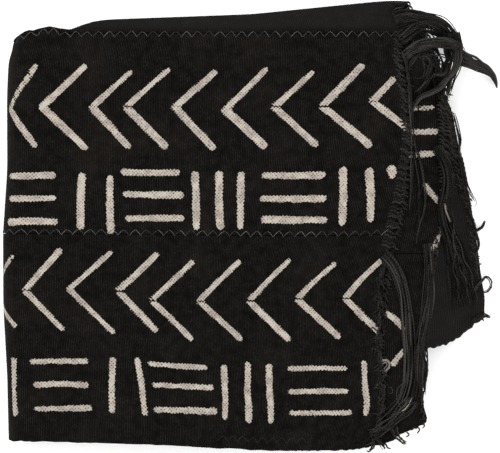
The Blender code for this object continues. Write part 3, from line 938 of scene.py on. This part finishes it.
def short_ends(layer, first, last, pitch, length, slant, bend, inset, radius):
    """Crimped short ends side by side, from the far end of a cut edge to the near."""
    for t in np.arange(last, first, -pitch):
        t += 0.12 * pitch * picker.uniform(-1, 1)
        root = fold(inset * picker.uniform(0.9, 1.1), t, THICKNESS / 2)
        reach = length * picker.uniform(0.9, 1.12)
        walk = np.arange(0.0, reach, SAMPLE)
        loose = min(1.0, abs(bend) / 2)
        turn = -slant + picker.uniform(-1, 1) * (0.06 + 0.7 * loose)
        turn = turn - bend * picker.uniform(0.6, 1.3) * walk / reach
        turn = turn + SWING * np.sin(2 * math.pi * walk / SWING_LENGTH)
        steps = np.column_stack((np.cos(turn), np.sin(turn))) * SAMPLE
        route = root[:2] + np.cumsum(steps, axis=0)
        size = radius * picker.uniform(0.85, 1.12)
        line = settle(route, size, SHORT_STIFFNESS, SHORT_PILE, root[2] + size * 0.4)
        share = np.linspace(0, 1, len(line))
        radii = size * np.sqrt(np.clip(1 - share ** 6, 0.15, 1))
        radii = radii * np.minimum(1, 0.55 + 4 * share)
        yarns_of_layer[layer].append((line, radii, 6, picker.uniform(*SHORT_TONES)))


for sizes in SHORT_ENDS:
    short_ends(*sizes)
print("short ends:", {layer: len(yarns) for layer, yarns in yarns_of_layer.items()})

# %% [markdown]
# ## Lead the long yarns
# At the upper right the warp of the lower layers is left long. It swings out, falls over
# the packet's side in bundles, and ends in curls and one pointed lock. Each bundle is
# charted as one route, and its yarns run beside each other along it.

# %% Chart the bundles
BUNDLES = (
    # layer, strands, spread at the root and at the tip, radius, wander, crimp, all in
    # millimetres, then the tone and the route in millimetres of the packet's plan
    ("d", 36, 8.6, 8, 0.55, 0.5, 0.06, 0.5,
     ((100.8, 145.6), (107.1, 147.3), (114.1, 147), (121.8, 145.6), (128.8, 144.2), (135.1, 141.4),
      (140, 136.5), (142.8, 130.2), (144.2, 123.2))),
    ("d", 10, 9, 9, 0.5, 0.9, 0.08, 0.3,
     ((104.3, 136.5), (113.4, 141.4), (122.5, 141.4), (130.9, 137.9), (137.2, 132.3),
      (141.4, 124.6))),
    ("d", 22, 8, 8, 0.5, 0.6, 0.06, 0.4,
     ((105, 130.2), (113.4, 136.5), (121.8, 140), (130.2, 138.6), (137.2, 133.7), (141.4, 126.7),
      (144.2, 119))),
    ("d", 34, 12, 8, 0.5, 0.5, 0.06, 0.4,
     ((141.4, 135.8), (142.8, 126.7), (143.5, 118.3), (141, 109.9), (137.5, 101.5), (136.5, 94.5),
      (134.8, 87.5))),
    ("d", 34, 9, 0.4, 0.5, 0.5, 0.04, 0.6,
     ((143.5, 121.9), (149.1, 118.0), (155.4, 115.2), (161, 112.6), (166.2, 110.2), (170.4, 106.6),
      (172.9, 101.5), (174.2, 95.9))),
    ("c", 14, 8, 9, 0.5, 0.8, 0.08, 0.3,
     ((107.8, 114.8), (113.4, 120.4), (120.4, 123.9), (127.4, 123.2), (130.9, 117.6),
      (131.6, 109.2), (130.2, 99.4))),
    ("c", 4, 8.5, 9, 0.6, 0.2, 0.05, 0.2,
     ((123.9, 118.3), (130.2, 118.3), (136.5, 116.9), (142.1, 114.8))),
    ("c", 5, 4, 3, 0.5, 0.4, 0.1, 0.5,
     ((100.1, 151.9), (104.3, 154), (108.5, 155.4), (111.3, 154.7))),
    ("c", 3, 2, 3, 0.45, 0.3, 0.1, 0.5,
     ((100.8, 155.4), (104.3, 155.8), (107.8, 155.4), (109.2, 153.6))),
    ("c", 22, 6.5, 6, 0.5, 0.4, 0.05, 0.75,
     ((107.1, 119), (113.4, 123.9), (119, 126.7), (124.6, 128.1), (133, 128.4), (140.7, 127.7),
      (145.6, 125.3), (148.4, 120.4))),
    ("c", 9, 3, 3, 0.5, 0.3, 0.05, 0.5,
     ((137.9, 109.9), (135.5, 106.4), (128.8, 106.4), (125.3, 103.9), (122.1, 99.4), (118.6, 95.5),
      (114.1, 92.4))),
    ("c", 14, 4.2, 2, 0.5, 0.25, 0.04, 0.9,
     ((146.3, 123.2), (146.3, 116.2), (143.5, 109.9), (137.9, 103.2), (133.7, 98), (126.7, 93.8),
      (119, 90.3), (114.8, 84.7), (112, 77))),
    ("c", 2, 1, 1, 0.45, 0.2, 0.05, 0.7,
     ((111.6, 112), (112.7, 116.2), (115.5, 119), (119.7, 119), (121.1, 115.1), (122.1, 110.6),
      (120.4, 104.6), (117.6, 103.6), (112.7, 106.8))),
    ("c", 6, 3, 3, 0.5, 0.2, 0.05, 0.7,
     ((119.7, 118.6), (123.2, 119.3), (126.3, 116.2), (126.3, 110.6), (124.6, 106.4),
      (121.1, 100.8))),
    ("c", 1, 0, 0, 0.4, 0.1, 0.05, 1,
     ((123.2, 129.5), (123.5, 135.1), (126.7, 141.4))),
    ("a", 3, 1.4, 2, 0.42, 0.4, 0.1, 0.9,
     ((106.4, 122.5), (108.7, 115.8), (109.9, 106.4), (111.5, 96.8), (112, 88.9), (113.4, 72.8),
      (114.1, 54.6), (113.4, 33.6), (112, 14.7), (111.3, 0))),
    ("c", 6, 5, 6, 0.5, 0.8, 0.12, 0.4,
     ((114.1, 63), (116.9, 49), (119.7, 35), (119.7, 19.6), (118.3, 2.8), (115.5, -14))),
    ("c", 26, 6, 15, 0.5, 0.7, 0.08, 0.15,
     ((130.2, 56), (136.5, 45.5), (139.3, 35), (138.6, 24.5), (136.1, 14), (137.9, 3.5),
      (141.4, -7), (144.9, -18.9), (147.7, -32.2), (149.1, -46.2), (149.8, -60.2))),
    ("d", 9, 6, 14, 0.5, 1, 0.1, 0.4,
     ((142.1, 2.8), (146.3, -12.6), (149.8, -29.4), (152.6, -44.8), (153.3, -57.4))),
    ("b", 15, 8, 11, 0.6, 0.5, 0.08, 0.6,
     ((93.8, -19.6), (99.4, -25.9), (104.3, -35), (107.8, -46.9), (109.9, -62.3), (110.9, -79.8),
      (111.6, -97.3), (110.6, -111.3), (106.4, -122.5), (98.7, -131.6), (88.9, -140.7))),
    ("c", 24, 6, 8, 0.55, 0.6, 0.08, 0.5,
     ((123.9, -12), (125.3, -25.2), (125.5, -44.8), (123.2, -64.4), (120, -83.3), (119.3, -100.8),
      (118.3, -116.2), (116.9, -127.4))),
    ("c", 4, 2, 1.2, 0.6, 0.3, 0.1, 0.4,
     ((120.4, -86.8), (123.2, -95.2), (123.5, -103.6), (121.8, -110.6), (123.2, -117.6))),
    ("d", 3, 1.6, 1.4, 0.5, 0.3, 0.2, 0.5,
     ((143.5, 79.8), (146.3, 69.3), (148, 60.2), (147, 53.9), (149.4, 44.8), (151.5, 36.4),
      (153.3, 28.7), (156.8, 21.7), (159.6, 16.4), (156.8, 12.6))),
    ("d", 2, 1.2, 1, 0.5, 0.3, 0.2, 0.5,
     ((146.3, 49), (148.4, 39.2), (149.8, 29.4), (151.2, 21), (154, 16.1), (157.5, 15.4))),
    ("d", 3, 1.8, 1.6, 0.5, 0.4, 0.2, 0.4,
     ((154, 12.6), (156.8, 3.5), (159.2, -4.9), (161, -14), (159.2, -20.3), (160.3, -30.1),
      (161.7, -40.6))),
    ("d", 3, 1.4, 1.2, 0.6, 0.1, 0.1, 0.4,
     ((156.8, -1.8), (160.3, -2.1), (163.4, 0), (165.5, 4.2))),
    ("d", 5, 2, 1.4, 0.45, 0.3, 0.2, 0.4,
     ((158.2, -46.2), (162.4, -39.2), (166.6, -35.3), (169.8, -37.8), (169.4, -43.4),
      (165.9, -46.2), (161, -44.1))),
    ("d", 7, 3.4, 1.6, 0.45, 0.3, 0.2, 0.4,
     ((156.8, -67.2), (161.7, -64.4), (166.6, -63), (170.8, -64.8))),
    ("a", 12, 9, 7, 0.55, 0.7, 0.12, 0.6,
     ((114.1, -121.1), (107.8, -129.5), (100.1, -136.5), (91, -142.8), (82.6, -147))),
    ("a", 8, 4.5, 3, 0.5, 0.4, 0.2, 0.4,
     ((100.1, -140), (102.9, -146.6), (106.4, -150.5), (110.9, -153.3))),
    ("a", 4, 2, 1.5, 0.5, 0.3, 0.2, 0.4,
     ((88.2, -147), (91.3, -151.9), (94.1, -156.1))),
    ("a", 1, 0, 0, 0.45, 0.2, 0.1, 1,
     ((105.7, -127.4), (102.9, -120.4), (103.2, -114.1), (107.1, -109.9), (111.3, -108.5),
      (114.8, -110.2), (114.1, -112.3))),
    ("a", 1, 0, 0, 0.4, 0.1, 0.1, 0.9,
     ((97.3, -112), (99.4, -113.4), (99.8, -116.2), (97.6, -117.2), (96.9, -114.8))),
    ("a", 1, 0, 0, 0.42, 0.1, 0.1, 2,
     ((105.7, -129.5), (108.5, -127.7), (111.3, -123.9), (113.4, -119.7))),
    ("c", 2, 0.8, 0.8, 0.35, 0.2, 0.1, 2,
     ((136.5, 16.1), (137.5, 11.2), (139.6, 6.3), (141.4, 1.4))),
    ("a", 3, 3.5, 3.5, 0.42, 0.3, 0.3, 2,
     ((91.7, -94.5), (95.2, -93.8), (97.6, -96.6), (95.9, -100.1), (93.1, -102.9))),
)
print("bundles:", len(BUNDLES), "long yarns:", sum(row[1] for row in BUNDLES))


# %% Draw the bundles
STRAND_SAMPLE = 0.0017
STRAND_STIFFNESS = 1.1
CRIMP_LENGTH = 0.0036
GROUPING = 1.7


def smooth_route(points, spacing):
    """A soft curve through plan points, with a point every spacing."""
    points = np.asarray(points, dtype=float)
    knots = walked_along(points)
    slopes = np.gradient(points, knots, axis=0)
    walk = np.linspace(0, knots[-1], max(4, int(knots[-1] / spacing) + 1))
    index = np.clip(np.searchsorted(knots, walk, side="right") - 1, 0, len(knots) - 2)
    width = knots[index + 1] - knots[index]
    share = ((walk - knots[index]) / width)[:, None]
    width = width[:, None]
    leaving, arriving = (1 - share) ** 2, share ** 2
    curve = (1 + 2 * share) * leaving * points[index]
    curve = curve + share * leaving * width * slopes[index]
    curve = curve + arriving * (3 - 2 * share) * points[index + 1]
    return curve + arriving * (share - 1) * width * slopes[index + 1]


def long_yarns(layer, count, spread, tip_spread, radius, wander, crimp, tone, chart):
    """The strands of one bundle, side by side along its charted route."""
    start = picker.uniform(0, 6)
    for place in range(count):
        group = math.sin(place * GROUPING + start)
        offset = (place + 0.5) / count - 0.5 + 0.6 * picker.uniform(-1, 1) / count
        route = smooth_route(np.asarray(chart) * MM, STRAND_SAMPLE)
        route = route[: max(8, int(len(route) * (1 - picker.uniform(0.0, 0.10))))]
        share = np.linspace(0, 1, len(route))
        sway = np.sin(share * picker.uniform(3, 8) + picker.uniform(0, 6))
        sway = sway + 0.4 * np.sin(share * picker.uniform(12, 22) + picker.uniform(0, 6))
        width = spread + (tip_spread - spread) * share ** 2
        sway = 1.5 * wander * sway * min(1.0, count / 4) * width / (spread + 0.01)
        aside = leftward(route) * ((offset * width + sway) * MM)[:, None]
        route = route + aside - MIDDLE[:2]
        route = crimped(route, crimp * MM, CRIMP_LENGTH, picker.uniform(0, 6))
        size = radius * MM * picker.uniform(0.65, 1.25)
        line = settle(route, size, STRAND_STIFFNESS, 0.45 + 0.25 * group)
        radii = size * (1 - 0.65 * share ** 5) * np.minimum(1, 0.4 + 8 * share)
        shade = tone + 0.35 * group + 0.35 * picker.uniform(-1, 1)
        yarns_of_layer[layer].append((line, radii, 5, min(shade, 1.2) if tone < 1.5 else tone))


EDGE_POINTS = 90


def edge_yarn(layer, s_ends, t_ends, radius):
    """A bumpy yarn along an edge of the cloth, which softens its outline."""
    line = fold(np.linspace(*s_ends, EDGE_POINTS), np.linspace(*t_ends, EDGE_POINTS), 0.0)
    steps = np.arange(EDGE_POINTS)
    line[:, :2] += 0.0005 * np.sin(steps[:, None] * np.array((1.3, 1.9)))
    radii = radius * (1 + 0.35 * np.sin(steps * 1.1))
    yarns_of_layer[layer].append((line, radii, 6, 0.4))


edge_yarn("d", (0.001, 0.09), (CLOTH_WIDTH, CLOTH_WIDTH), 0.0009)
edge_yarn("c", (0.001, 0.001), (LAYER_C_START + 0.005, 0.632), 0.0007)
edge_yarn("d", (0.001, 0.001), (1.045, CLOTH_WIDTH), 0.0007)
for bundle in BUNDLES:
    long_yarns(*bundle)
short_ends(*BAND_END)
fringes = [yarn_mesh(f"loose_yarns_{layer}", yarns)
           for layer, yarns in yarns_of_layer.items()]

# %% [markdown]
# ## The ends inside the packet
# The other cut end is folded away at the bottom of the packet. Its warp yarns just stick
# out straight, a few millimetres past the last weft.

# %% Set the inner ends
INNER_REACH = 0.012
INNER_PITCH = 0.0023
INNER_INSET = 0.003
INNER_POINTS = 8
INNER_RADIUS = 0.00045
LAYER_SPANS = {
    "a": (0.0, LAYER_B_START), "b": (LAYER_B_START, LAYER_C_START),
    "c": (LAYER_C_START, LAYER_D_START), "d": (LAYER_D_START, CLOTH_WIDTH),
}


def inner_yarns(first, last):
    """The short straight ends of one layer at the inner cut end."""
    yarns = []
    for t in np.arange(first + INNER_INSET, last - INNER_INSET, INNER_PITCH):
        reach = INNER_REACH * picker.uniform(0.6, 1.05)
        s = CLOTH_LENGTH - 0.001 + np.linspace(0, reach, INNER_POINTS)
        wave = 0.0004 * np.sin(np.linspace(0, 9, INNER_POINTS) + picker.uniform(0, 6))
        line = fold(s, t + wave, 0.0)
        radii = INNER_RADIUS * np.linspace(1.0, 0.5, INNER_POINTS)
        yarns.append((line, radii, 5, picker.random()))
    return yarns


inner_fringes = [yarn_mesh(f"inner_yarns_{layer}", inner_yarns(*span))
                 for layer, span in LAYER_SPANS.items()]


# %% [markdown]
# ## Shader maths as plain expressions
# A small class wraps a socket, so a mask or a bump can be written as a sum or a product
# and each operator adds its Math node. Every other node comes from one method.


# %% Wrap sockets
class Value:
    """A number from a node, on which plain arithmetic adds Math nodes."""

    def __init__(self, shade, socket):
        self.shade = shade
        self.socket = socket

    def math(self, operation, *others):
        return self.shade.node("ShaderNodeMath", {"operation": operation},
                               dict(enumerate((self, *others))))

    def __add__(self, other):
        return self.math("ADD", other)

    def __mul__(self, other):
        return self.math("MULTIPLY", other)

    def __sub__(self, other):
        return self.math("SUBTRACT", other)

    def __rsub__(self, other):
        return (self * -1) + other

    __radd__ = __add__
    __rmul__ = __mul__


class Shade:
    """A material's nodes; one method makes any of them."""

    def __init__(self, name):
        self.material = bpy.data.materials.new(name)
        self.material.use_nodes = True
        self.tree = self.material.node_tree
        self.surface = self.tree.nodes["Principled BSDF"]

    def feed(self, socket, value):
        """Links a value to a socket, or sets the socket to it."""
        if isinstance(value, Value):
            self.tree.links.new(value.socket, socket)
        else:
            socket.default_value = value

    def node(self, kind, settings, sockets, output=0):
        """A node of any kind: its settings first, then the values or links of its sockets."""
        made = self.tree.nodes.new(kind)
        for name, value in settings.items():
            setattr(made, name, value)
        for name, value in sockets.items():
            self.feed(made.inputs[name], value)
        return Value(self, made.outputs[output])

    def set(self, **sockets):
        """Sets the surface's own sockets, whose names are given with underscores."""
        for name, value in sockets.items():
            self.feed(self.surface.inputs[name.replace("_", " ")], value)

    def mix(self, factor, low, high):
        """A colour between two colours."""
        return self.node("ShaderNodeMix", {"data_type": "RGBA"}, {0: factor, 6: low, 7: high}, 2)

    def noise(self, vector, scale, detail=2.0):
        """Soft noise from 0 to 1."""
        sockets = {"Vector": vector, "Scale": scale, "Detail": detail}
        return self.node("ShaderNodeTexNoise", {}, sockets)

    def step(self, value, low, high):
        """0 below low and 1 above high, with a soft rise between."""
        return self.node("ShaderNodeMapRange", {"interpolation_type": "SMOOTHSTEP"},
                         {"Value": value, "From Min": low, "From Max": high})

    def uv_and_parts(self, name):
        """A UV map, and its first and second part."""
        uv = self.node("ShaderNodeUVMap", {"uv_map": name}, {})
        parts = [self.node("ShaderNodeSeparateXYZ", {}, {"Vector": uv}, part) for part in (0, 1)]
        return uv, *parts

    def attribute(self, name):
        """A number that every vertex of the mesh keeps."""
        return self.node("ShaderNodeAttribute", {"attribute_name": name}, {}, "Fac")

    def emboss(self, height, strength, distance):
        """Bumps of this height on the surface."""
        sockets = {"Strength": strength, "Distance": distance, "Height": height}
        self.set(Normal=self.node("ShaderNodeBump", {}, sockets))


print("shader maths is ready")

# %% [markdown]
# ## Mud-dyed cotton
# The cloth is a plain weave of thick hand-spun yarn. Where warp passes over weft the yarn
# stands up, and the dye leaves the hollows darkest, so a pale mark is dotted with dark
# pits on the slant. The black itself is uneven: brown in places, and greyer on the yarn
# tops, which is partly wear and partly a painted highlight on the raised yarn. The lower
# layers, where they show past the top one, are painted lighter as painted light.

# %% Finish the cloth
WARP_PITCH = 0.00125
WEFT_PITCH = 0.0012
CREAM = (0.385, 0.350, 0.294, 1.0)
CREAM_WORN = (0.258, 0.221, 0.194, 1.0)
PIT = (0.085, 0.067, 0.056, 1.0)
PALE_YARN = (0.21, 0.185, 0.16, 1.0)
# Painted light: the lower layers' cloth is painted lighter where it shows at the top and at the
# right
PAINTED_LIGHT_BLACK = (0.0150, 0.0144, 0.0142, 1.0)
PAINTED_LIGHT_SPAN = (0.81, 0.85)
BLACK = (0.0024, 0.0022, 0.0021, 1.0)
BROWN_BLACK = (0.0050, 0.0040, 0.0034, 1.0)
# The yarn tops' colour: partly wear, partly a painted highlight on the raised yarn
YARN_TOP_HIGHLIGHT_AND_WEAR = (0.0235, 0.0212, 0.0190, 1.0)


def cloth_material():
    """Near-black hand-woven cotton with cream marks."""
    shade = Shade("mud_dyed_cotton_marked")
    uv, s, t = shade.uv_and_parts("cloth")
    mark = shade.attribute("mark")
    drift = shade.noise(uv, 55.0) * 0.0016
    warp = ((t + drift) * (math.pi / WARP_PITCH)).math("SINE")
    weft = ((s + drift) * (math.pi / WEFT_PITCH)).math("SINE")
    checker = warp * weft
    ribs = ((s + drift) * (2 * math.pi / WEFT_PITCH)).math("COSINE")
    slub = shade.noise(uv, 700.0, 3.0)
    patch = shade.noise(uv, 26.0, 4.0)
    worn = shade.noise(uv, 160.0, 4.0)
    edge = mark + (slub - 0.5) * 2.0 + (worn - 0.5) * 1.8 + checker * 0.3
    painted = shade.step(edge, -0.12, 0.30)
    hollow = shade.step(checker * -0.8 + (slub - 0.5) * 3.4, 0.25, 0.8)
    cream = shade.mix(shade.step(worn, 0.35, 0.72), CREAM, CREAM_WORN)
    cream = shade.mix(hollow * shade.step(worn, 0.25, 0.55), cream, PIT)
    black = shade.mix(shade.step(patch, 0.42, 0.68), BLACK, BROWN_BLACK)
    # The raised yarn and ribs are painted lighter: a painted highlight, partly wear
    top = shade.step(checker * 0.35 + ribs + (slub - 0.5) * 2.2, 0.1, 1.4)
    black = shade.mix(top * shade.step(worn, 0.2, 0.75), black, YARN_TOP_HIGHLIGHT_AND_WEAR)
    # Painted light: the lower layers are lighter where they show past the top one
    black = shade.mix(shade.step(t, *PAINTED_LIGHT_SPAN) * 0.42, black, PAINTED_LIGHT_BLACK)
    shade.set(Base_Color=shade.mix(painted, black, cream))
    shade.set(Roughness=0.92 - painted * 0.06)
    shade.set(Sheen_Weight=0.03, Sheen_Roughness=0.35, Sheen_Tint=(0.75, 0.70, 0.66, 1.0))
    shade.set(Specular_IOR_Level=0.02)
    shade.emboss(checker * 0.5 + ribs * 0.35 + slub * 0.8, 0.8, 0.00032)
    return shade.material


cloth = cloth_material()
for sheet in sheets:
    sheet.data.materials.append(cloth)
print("nodes in the cloth's finish:", len(cloth.node_tree.nodes))

# %% [markdown]
# ## Loose yarn and thread
# Loose yarn shows its ply: a slanting ridge that winds round it, painted lighter as a painted
# highlight. Its colours are lighter than the cloth's, partly as a painted highlight, and each
# yarn is a little greyer or browner than the next.

# %% Finish the yarn
YARN_TWIST = 0.0021
THREAD_TWIST = 0.0009


def yarn_material(name, dark, light, roughness, twist_pitch):
    """Twisted cotton yarn, each strand with its own tone between two colours. A tone past
    1.5 is a pale yarn, which missed the dye."""
    shade = Shade(name)
    _, along, around = shade.uv_and_parts("yarn")
    tone = shade.attribute("tone")
    place = shade.node("ShaderNodeTexCoord", {}, {}, "Object")
    fluff = shade.noise(place, 900.0, 3.0)
    ply = ((along * (1 / twist_pitch) + around * 2) * (2 * math.pi)).math("SINE")
    # The ply ridge is painted lighter, a painted highlight; the rest is each yarn's own tone
    ply_highlight_and_tone = shade.step(ply * 0.35 + (fluff - 0.5) * 1.2 + tone * 1.1, 0.0, 1.7)
    yarn = shade.mix(ply_highlight_and_tone, dark, light)
    shade.set(Base_Color=shade.mix(shade.step(tone, 1.4, 1.5), yarn, PALE_YARN))
    shade.set(Roughness=roughness + (fluff - 0.5) * 0.2)
    shade.set(Sheen_Weight=0.05, Sheen_Roughness=0.4, Sheen_Tint=(0.8, 0.78, 0.76, 1.0))
    shade.set(Specular_IOR_Level=0.06)
    shade.emboss(ply * 0.5 + fluff, 0.9, 0.0002)
    return shade.material


dyed_yarn = yarn_material("loose_dyed_yarn", (0.0030, 0.0028, 0.0028, 1.0),
                          (0.046, 0.042, 0.037, 1.0), 0.72, YARN_TWIST)
thread = yarn_material("pale_sewing_thread", (0.02, 0.02, 0.02, 1.0),
                       (0.26, 0.25, 0.24, 1.0), 0.6, THREAD_TWIST)
for fringe in fringes + inner_fringes:
    fringe.data.materials.append(dyed_yarn)
stitches.data.materials.append(thread)
print("yarn finishes:", dyed_yarn.name, thread.name)

# %% [markdown]
# ## Ride each piece on the body
# Every woven strip stands for its solid, which is hidden. The loose yarns stand for their
# backings and locks. All of it rides on the one body.

# %% Ride and replace
for number, sheet in enumerate(sheets):
    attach(sheet, "root")
    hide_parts(f"strip_{number + 1}")
for layer, fringe, inner in zip(LAYER_SPANS, fringes, inner_fringes):
    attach(fringe, "root")
    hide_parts(f"warp_ends_{layer}")
    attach(inner, "root")
    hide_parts(f"inner_ends_{layer}")
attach(stitches, "root")
print("declared sheets:", len(sheets))

# %% [markdown]
# ## Floor, light and camera
# The cloth lies on a plain pale floor and is seen from straight above, through a long
# lens, so that its height hardly shifts its outline. A broad soft light comes from the
# upper left, and a bright surround fills the shadows. The floor glows a little, so that
# the cloth's shadow on it stays faint.


# %% Lay the floor
FLOOR_REACH = 3.0
FLOOR_GLOW = 0.12
WHITE = (1.0, 1.0, 1.0, 1.0)


def pale_floor():
    """A wide plain floor under the packet."""
    mesh = bpy.data.meshes.new("pale_floor")
    corners = ((-1, -1), (1, -1), (1, 1), (-1, 1))
    places = [(x * FLOOR_REACH, y * FLOOR_REACH, 0) for x, y in corners]
    mesh.from_pydata(places, [], [(0, 1, 2, 3)])
    shade = Shade("pale_floor_paint")
    place = shade.node("ShaderNodeTexCoord", {}, {}, "Object")
    grain = shade.noise(place, 40.0)
    shade.set(Base_Color=shade.mix(grain, (0.95, 0.95, 0.95, 1.0), (0.97, 0.97, 0.97, 1.0)))
    shade.set(Roughness=0.9, Specular_IOR_Level=0.1)
    shade.set(Emission_Color=WHITE, Emission_Strength=FLOOR_GLOW)
    mesh.materials.append(shade.material)
    return linked("pale_floor", mesh)


pale_floor()


# %% Light it
def soft_light(name, place, size, power):
    """An area light that faces the middle of the packet."""
    data = bpy.data.lights.new(name, "AREA")
    data.size = size
    data.energy = power
    light = linked(name, data)
    light.location = place
    light.rotation_euler = (-Vector(place)).to_track_quat("-Z", "Y").to_euler()


soft_light("key_light", (-0.9, 1.0, 1.3), 1.2, 20.0)
soft_light("fill_light", (1.1, -0.8, 1.4), 1.8, 13.0)
world = bpy.data.worlds.new("white_surround")
world.use_nodes = True
background = world.node_tree.nodes["Background"]
background.inputs["Color"].default_value = WHITE
background.inputs["Strength"].default_value = 1.2
bpy.context.scene.world = world
bpy.context.scene.view_settings.view_transform = "Standard"

# %% Set the camera
FRAME_WIDTH = 0.350
LENS = 500.0
SENSOR = 36.0
camera_data = bpy.data.cameras.new("camera")
camera_data.lens = LENS
camera_data.clip_end = 20.0
camera_data.sensor_width = SENSOR
camera = linked("camera", camera_data)
camera.location = (-MIDDLE[0], -MIDDLE[1], TOP_PANEL_Z + FRAME_WIDTH * LENS / SENSOR)
bpy.context.scene.camera = camera
print("camera height:", round(camera.location.z, 3))
